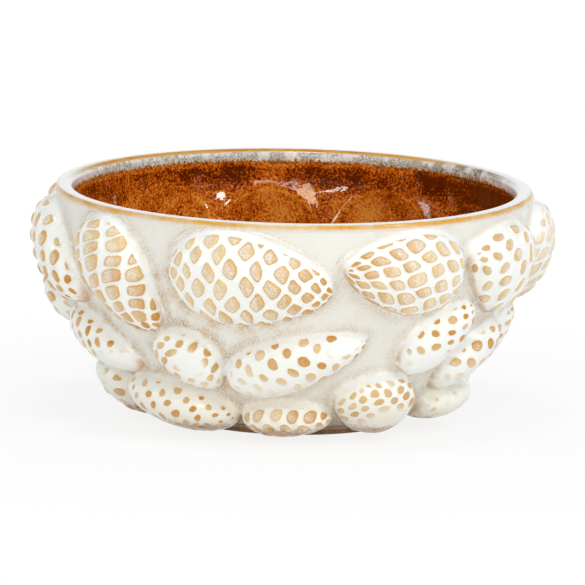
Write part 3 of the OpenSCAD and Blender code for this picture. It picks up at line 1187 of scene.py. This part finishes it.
def glaze_skin():
    """The small waves and pits of a fired glaze, as a normal."""
    def fill(t, given):
        waves = t.times(t.noise(5 * MM, 2), given["Waves"])
        pits = t.times(t.noise(0.7 * MM, 3), given["Pits"])
        links = {"Height": t.plus(waves, pits), "Strength": 1.0, "Distance": MM}
        bump = t.add("ShaderNodeBump", links)
        return {"Normal": bump.outputs["Normal"]}

    return group("glaze_skin", {"Waves": 0.2, "Pits": 0.02}, {"Normal": "NodeSocketVector"}, fill)


def new_material(name, colour):
    """An empty material, and its principled shader."""
    material = bpy.data.materials.new(name)
    material.use_nodes = True
    material.diffuse_color = (*colour, 1)
    t = Tree(material.node_tree)
    return material, t, material.node_tree.nodes["Principled BSDF"]


def place_group(t, tree, links):
    """Puts a node group in a material with its own values, and gives its outputs."""
    return t.add("ShaderNodeGroup", links, node_tree=tree).outputs


def fire(t, shader, colour, roughness, waves, pits):
    """Feeds the shader its colour, its roughness and the skin of a fired glaze."""
    skin = place_group(t, glaze_skin(), {"Waves": waves, "Pits": pits})
    t.feed(shader.inputs["Base Color"], colour)
    t.feed(shader.inputs["Roughness"], roughness)
    t.feed(shader.inputs["Normal"], skin["Normal"])


def outside_glaze(name):
    """Glaze of the outside: broken on the cones' pads and thin on the wall."""
    c = bpy.context.scene.bowl_colours
    material, t, shader = new_material(name, c.white)
    place = t.place()
    height = place["Z"]
    white = t.mix(t.ramp(height, *CREAM_BELOW), c.white, c.cream)
    # Painted shade: the wall gets sandier towards the left, away from the key light at the right
    leftwards = t.ramp(place["X"], *SAND_AS_SHADE_LEFT, 0.5, 1.15)
    sandiness = t.times(t.ramp(height, *SANDY_BELOW, 0.4, 1.0), leftwards)
    sandiness = t.plus(sandiness, t.ramp(height, *SANDIER_BELOW, 0.0, 0.9))
    cone = place_group(t, broken_glaze(), {
        "Pad": t.mask("pad"), "Bare": t.mask("bare"), "Core": t.mask("core"),
        "Lean": t.mask("lean"), "White": white, "Centre": c.core, "Straw": c.straw,
        "Ochre": c.ochre, "Orange": c.orange,
    })
    edge = t.mask("edge")
    wall = place_group(t, thin_wall_glaze(), {
        "Edge": edge, "Sandiness": sandiness, "Wall": c.wall, "Sand": c.sand,
    })
    on_wall = t.ramp(t.plus(edge, t.wander(3 * MM, 2.4)), -0.2, 2.0)
    colour = t.mix(on_wall, cone["Color"], wall["Color"])
    # Painted shade: an orange line in the crease under each cone
    crease = t.times(t.mask("crease"), t.specks(4 * MM, 0.32, 0.52))
    colour = t.mix(t.times(crease, 0.7), colour, c.orange)
    low = t.plus(height, t.times(t.noise(2.5 * MM, 4), 8 * MM))
    burnt = t.mix(t.specks(2 * MM, 0.34, 0.54), c.brown, c.orange)
    colour = t.mix(t.ramp(low, *BURNT_BELOW, 0.0, 0.9), colour, burnt)
    colour = rim_colours(t, c, t.mask("over_lip"), colour)
    fire(t, shader, colour, t.ramp(cone["Bare"], 0, 1, 0.16, 0.30), waves=0.16, pits=0.03)
    return material


def rim_colours(t, c, over, colour):
    """Lays the lip's tan corners, white top and mottled inner band over a colour.

    Over is how far over the lip a point lies, in millimetres from the bottom of its outside.
    The inner tan line is left off the front as a painted highlight, and the band is darker at the
    right as painted shade.
    """
    along = t.plus(over, t.wander(3 * MM, 0.7))
    patches = t.noise(14 * MM, 2)
    outer = t.times(t.ramp(along, *OUTER_LINE_STARTS), t.ramp(along, *OUTER_LINE_ENDS))
    inner = t.times(t.ramp(along, *INNER_LINE_STARTS), t.ramp(along, *INNER_LINE_ENDS))
    place = t.place()
    # Painted highlight: the inner tan line fades out towards the front, where the lip's white stays
    inner = t.times(inner, t.ramp(place["Y"], 5 * MM, 60 * MM))
    inner = t.times(inner, t.ramp(place["X"], 80 * MM, 50 * MM, 0.15, 1.0))
    # Painted shade: the band darkens towards its right end, away from the key light
    shaded_right = t.ramp(place["X"], 40 * MM, 80 * MM)
    line = t.plus(t.times(outer, t.ramp(patches, 0.3, 0.6, 0.65, 1)), inner)
    shade = t.mix(t.specks(1.2 * MM, 0.35, 0.65), c.rim, c.ochre)
    shade = t.mix(t.times(inner, t.ramp(patches, 0.45, 0.6, 0.1, 0.5)), shade, c.amber)
    specks = t.noise(0.9 * MM, 4, 0.7)
    clouds = t.noise(7 * MM, 3)
    mottled = t.mix(t.ramp(specks, 0.36, 0.70), c.band, c.wall)
    mottled = t.mix(t.ramp(clouds, 0.48, 0.62, 0.0, 0.65), mottled, c.white)
    mottled = t.mix(t.ramp(clouds, 0.48, 0.36, 0.0, 0.35), mottled, c.core)
    dark = t.times(shaded_right, t.ramp(clouds, 0.53, 0.42))
    mottled = t.mix(t.times(dark, 0.6), mottled, c.dark_shade)
    # Painted highlight: the band turns white towards the rim's left and right ends
    ends = t.ramp(t.maths("ABSOLUTE", place["X"]), 80 * MM, 94 * MM, 0.0, 0.85)
    mottled = t.mix(ends, mottled, c.white)
    streaks = t.noise(1.6 * MM, 4, 0.65, (1, 1, 0.3))
    ragged = t.plus(along, t.times(t.plus(streaks, -0.5), 6.0))
    rust = t.mix(t.ramp(specks, 0.42, 0.56), c.amber_dark, c.orange)
    mottled = t.mix(t.ramp(ragged, *RUST_STARTS), mottled, rust)
    colour = t.mix(t.ramp(along, *LIP_TOP_STARTS), colour, c.white)
    colour = t.mix(t.ramp(along, *BAND_STARTS), colour, mottled)
    return t.mix(line, colour, shade)


def amber_glaze():
    """Deep speckled amber, darker along its top, with painted shade darker at the right, and with
    pale hollow brinks.

    Its masks are the millimetres down from its top edge, and the share of a hollow's depth.
    """
    c = bpy.context.scene.bowl_colours
    material, t, shader = new_material("amber_glaze", c.amber)
    fine = t.noise(1.0 * MM, 4, 0.7)
    depth = t.mask("depth")
    cast = t.wander(16 * MM, 0.55)
    top = t.times(t.ramp(depth, 16.0, 6.0, 0.0, -0.13), t.ramp(depth, 0.8, 3.4))
    # Painted shade: the lining darkens towards the right, where it faces away from the key light
    side = t.ramp(t.place()["X"], 40 * MM, 85 * MM, 0.03, -0.12)
    hollow = t.mask("hollow")
    brink = t.times(t.ramp(hollow, 0.01, 0.05), t.ramp(hollow, 0.20, 0.08, 0.0, 0.07))
    tone = t.plus(t.plus(fine, cast), t.plus(t.plus(top, side), brink))
    colour = t.mix(t.ramp(tone, 0.36, 0.50), c.amber_dark, c.amber)
    colour = t.mix(t.ramp(tone, 0.50, 0.66), colour, c.amber_light)
    # Painted shade: a broken dark line along the lining's top, under the band
    line = t.ramp(t.plus(depth, t.wander(1.6 * MM, 3.2)), 1.7, 0.5)
    line = t.times(line, t.ramp(t.noise(16 * MM, 2), 0.46, 0.62, 0.0, 0.7))
    colour = t.mix(line, colour, c.dark_shade)
    fire(t, shader, colour, t.ramp(fine, 0.3, 0.7, 0.02, 0.05), waves=0.06, pits=0.003)
    return material


def foot_clay():
    """Tan-brown clay under a wiped glaze, darker where it stands."""
    c = bpy.context.scene.bowl_colours
    material, t, shader = new_material("foot_clay", c.brown)
    grain = t.specks(0.8 * MM, 0.35, 0.65, 4, 0.7)
    cloud = t.specks(9 * MM, 0.35, 0.65, 2)
    colour = t.mix(grain, c.brown, c.sand)
    colour = t.mix(t.times(cloud, 0.5), colour, c.brown)
    glazed = t.plus(t.place()["Z"], t.times(t.noise(3 * MM, 3), MM))
    colour = t.mix(t.ramp(glazed, 2.0 * MM, 4.0 * MM), colour, t.mix(0.5, c.wall, c.sand))
    fire(t, shader, colour, t.ramp(grain, 0, 1, 0.45, 0.7), waves=0.1, pits=0.15)
    return material


class BOWL_OT_wall(bpy.types.Operator):
    """Models the wall between the cones, its inside and its underside"""

    bl_idname = "bowl.wall"
    bl_label = "Wall"

    def execute(self, context):
        seat(make_wall(outside_glaze("wall_glaze")), "wall_glaze", "bowl_body")
        return {"FINISHED"}


class BOWL_OT_lip(bpy.types.Operator):
    """Models the rolled lip and the pale band inside it"""

    bl_idname = "bowl.lip"
    bl_label = "Lip"

    def execute(self, context):
        seat(make_lip(outside_glaze("lip_glaze")), "lip_glaze", "rim_lip")
        return {"FINISHED"}


class BOWL_OT_cones(bpy.types.Operator):
    """Models every pine cone as a piece of its own"""

    bl_idname = "bowl.cones"
    bl_label = "Cones"

    def execute(self, context):
        material = outside_glaze("cone_glaze")
        for number, cone in enumerate(relief().cones):
            seat(make_cone(number, material), "cone_glaze", cone.node)
        return {"FINISHED"}


class BOWL_OT_foot(bpy.types.Operator):
    """Models the foot ring"""

    bl_idname = "bowl.foot"
    bl_label = "Foot"

    def execute(self, context):
        seat(make_foot(foot_clay()), "foot_clay", "foot_ring")
        return {"FINISHED"}


class BOWL_OT_lining(bpy.types.Operator):
    """Models the amber glaze lining"""

    bl_idname = "bowl.lining"
    bl_label = "Lining"

    def execute(self, context):
        seat(make_lining(amber_glaze()), "amber_glaze", "inner_glaze")
        return {"FINISHED"}


def add_lamp(name, azimuth, elevation, width, height, turn, power, warmth):
    """A soft box that faces the bowl. Its azimuth is 0 in front of the bowl and 90 at its right."""
    data = bpy.data.lights.new(name, "AREA")
    data.shape = "RECTANGLE"
    data.size = width
    data.size_y = height
    data.energy = power
    data.color = (1, 1 - warmth / 4, 1 - warmth)
    out = Euler((math.radians(90 - elevation), 0, math.radians(azimuth))).to_quaternion()
    location = Vector((0, 0, LAMP_AIM_Z)) + out @ Vector((0, 0, LAMP_DISTANCE))
    put(name, data, location, out @ Quaternion((0, 0, 1), math.radians(turn)))


def make_floor():
    """A wide pale floor that the camera sees as white, apart from the bowl's shadow."""
    mesh = bpy.data.meshes.new("floor")
    reach = FLOOR_REACH
    corners = [(-reach, -reach, 0), (reach, -reach, 0), (reach, reach, 0), (-reach, reach, 0)]
    mesh.from_pydata(corners, [], [(0, 1, 2, 3)])
    material, t, shader = new_material("floor_white", FLOOR_COLOUR)
    t.feed(shader.inputs["Base Color"], FLOOR_COLOUR)
    shader.inputs["Roughness"].default_value = 0.9
    shader.inputs["Specular IOR Level"].default_value = 0.1
    glow = t.add("ShaderNodeEmission", {"Color": WHITE, "Strength": 1.0})
    path = t.add("ShaderNodeLightPath").outputs
    place = t.add("ShaderNodeTexCoord").outputs["Object"]
    away = t.add("ShaderNodeVectorMath", {0: place}, operation="LENGTH").outputs["Value"]
    seen = t.maths("MAXIMUM", path["Is Camera Ray"], path["Is Glossy Ray"])
    # Near the bowl the floor glows a little less, so that the bowl's shadow shows
    seen = t.times(seen, t.ramp(away, 0.10, 0.30, 0.85, 1.0))
    blend = t.add("ShaderNodeMixShader", {0: seen, 1: shader.outputs[0], 2: glow.outputs[0]})
    t.feed(material.node_tree.nodes["Material Output"].inputs["Surface"], blend.outputs[0])
    mesh.materials.append(material)
    put("floor", mesh)


def make_world():
    """An even pale surround, seen as white, and mirrored as white only behind the bowl."""
    world = bpy.data.worlds.new("studio")
    bpy.context.scene.world = world
    world.use_nodes = True
    t = Tree(world.node_tree)
    path = t.add("ShaderNodeLightPath").outputs
    way = t.place("Generated")
    level = t.ramp(t.maths("ABSOLUTE", way["Z"]), 0.40, 0.10)
    far_side = t.times(level, t.ramp(way["Y"], -0.2, 0.4))
    mirrored = t.times(path["Is Glossy Ray"], t.ramp(far_side, 0, 1, SURROUND_MIRRORED, 1.0))
    seen = t.maths("MAXIMUM", path["Is Camera Ray"], path["Is Transmission Ray"])
    other = t.times(t.maths("SUBTRACT", 1.0, path["Is Glossy Ray"]), SURROUND_LIGHT)
    strength = t.maths("MAXIMUM", t.maths("MAXIMUM", seen, mirrored), other)
    background = world.node_tree.nodes["Background"]
    background.inputs["Color"].default_value = WHITE
    t.feed(background.inputs["Strength"], strength)


def make_camera():
    """A long lens at the photograph's angle and framing."""
    s = bpy.context.scene.bowl_stage
    data = bpy.data.cameras.new("camera")
    data.sensor_width = 36
    data.lens = data.sensor_width * s.distance / (PICTURE_PX * s.pixel)
    data.clip_end = 100
    turn = Euler((math.pi / 2 - s.elevation, 0, 0)).to_quaternion()
    turn = turn @ Quaternion((0, 0, 1), s.roll)
    right, up, back = (turn @ Vector(axis) for axis in ((1, 0, 0), (0, 1, 0), (0, 0, 1)))
    sideways = (PICTURE_PX / 2 - ORIGIN_X_PX) * s.pixel
    upwards = (ORIGIN_Y_PX - PICTURE_PX / 2) * s.pixel
    location = right * sideways + up * upwards + back * s.distance
    bpy.context.scene.camera = put("camera", data, location, turn)


class BOWL_OT_stage(bpy.types.Operator):
    """Sets up the floor, the surround, the lamps and the camera"""

    bl_idname = "bowl.stage"
    bl_label = "Stage"

    def execute(self, context):
        context.scene.view_settings.view_transform = "Standard"
        make_world()
        make_floor()
        for lamp in LAMPS:
            add_lamp(*lamp)
        make_camera()
        return {"FINISHED"}


class BOWL_PT_panel(bpy.types.Panel):
    """Lists the bowl's operators and its sizes and colours"""

    bl_idname = "BOWL_PT_panel"
    bl_label = "Pine-cone bowl"
    bl_space_type = "VIEW_3D"
    bl_region_type = "UI"
    bl_category = "Bowl"

    def draw(self, context):
        for operator in OPERATORS:
            self.layout.operator(operator.bl_idname)
        for group_name in GROUPS:
            settings = getattr(context.scene, group_name)
            for name in settings.bl_rna.properties.keys():
                if name not in ("rna_type", "name"):
                    self.layout.prop(settings, name)


OPERATORS = (BOWL_OT_wall, BOWL_OT_lip, BOWL_OT_cones, BOWL_OT_foot, BOWL_OT_lining, BOWL_OT_stage)
GROUPS = {
    "bowl_form": BowlForm, "bowl_relief": ReliefLook,
    "bowl_colours": GlazeColours, "bowl_stage": StageLook,
}


def register():
    for settings in GROUPS.values():
        bpy.utils.register_class(settings)
    for operator in OPERATORS:
        bpy.utils.register_class(operator)
    bpy.utils.register_class(BOWL_PT_panel)
    for name, settings in GROUPS.items():
        setattr(bpy.types.Scene, name, bpy.props.PointerProperty(type=settings))


def unregister():
    for name in GROUPS:
        delattr(bpy.types.Scene, name)
    bpy.utils.unregister_class(BOWL_PT_panel)
    for operator in reversed(OPERATORS):
        bpy.utils.unregister_class(operator)
    for settings in reversed(list(GROUPS.values())):
        bpy.utils.unregister_class(settings)


def main():
    register()
    bpy.ops.bowl.wall()
    bpy.ops.bowl.lip()
    bpy.ops.bowl.cones()
    bpy.ops.bowl.foot()
    bpy.ops.bowl.lining()
    bpy.ops.bowl.stage()


if __name__ == "__main__":
    main()
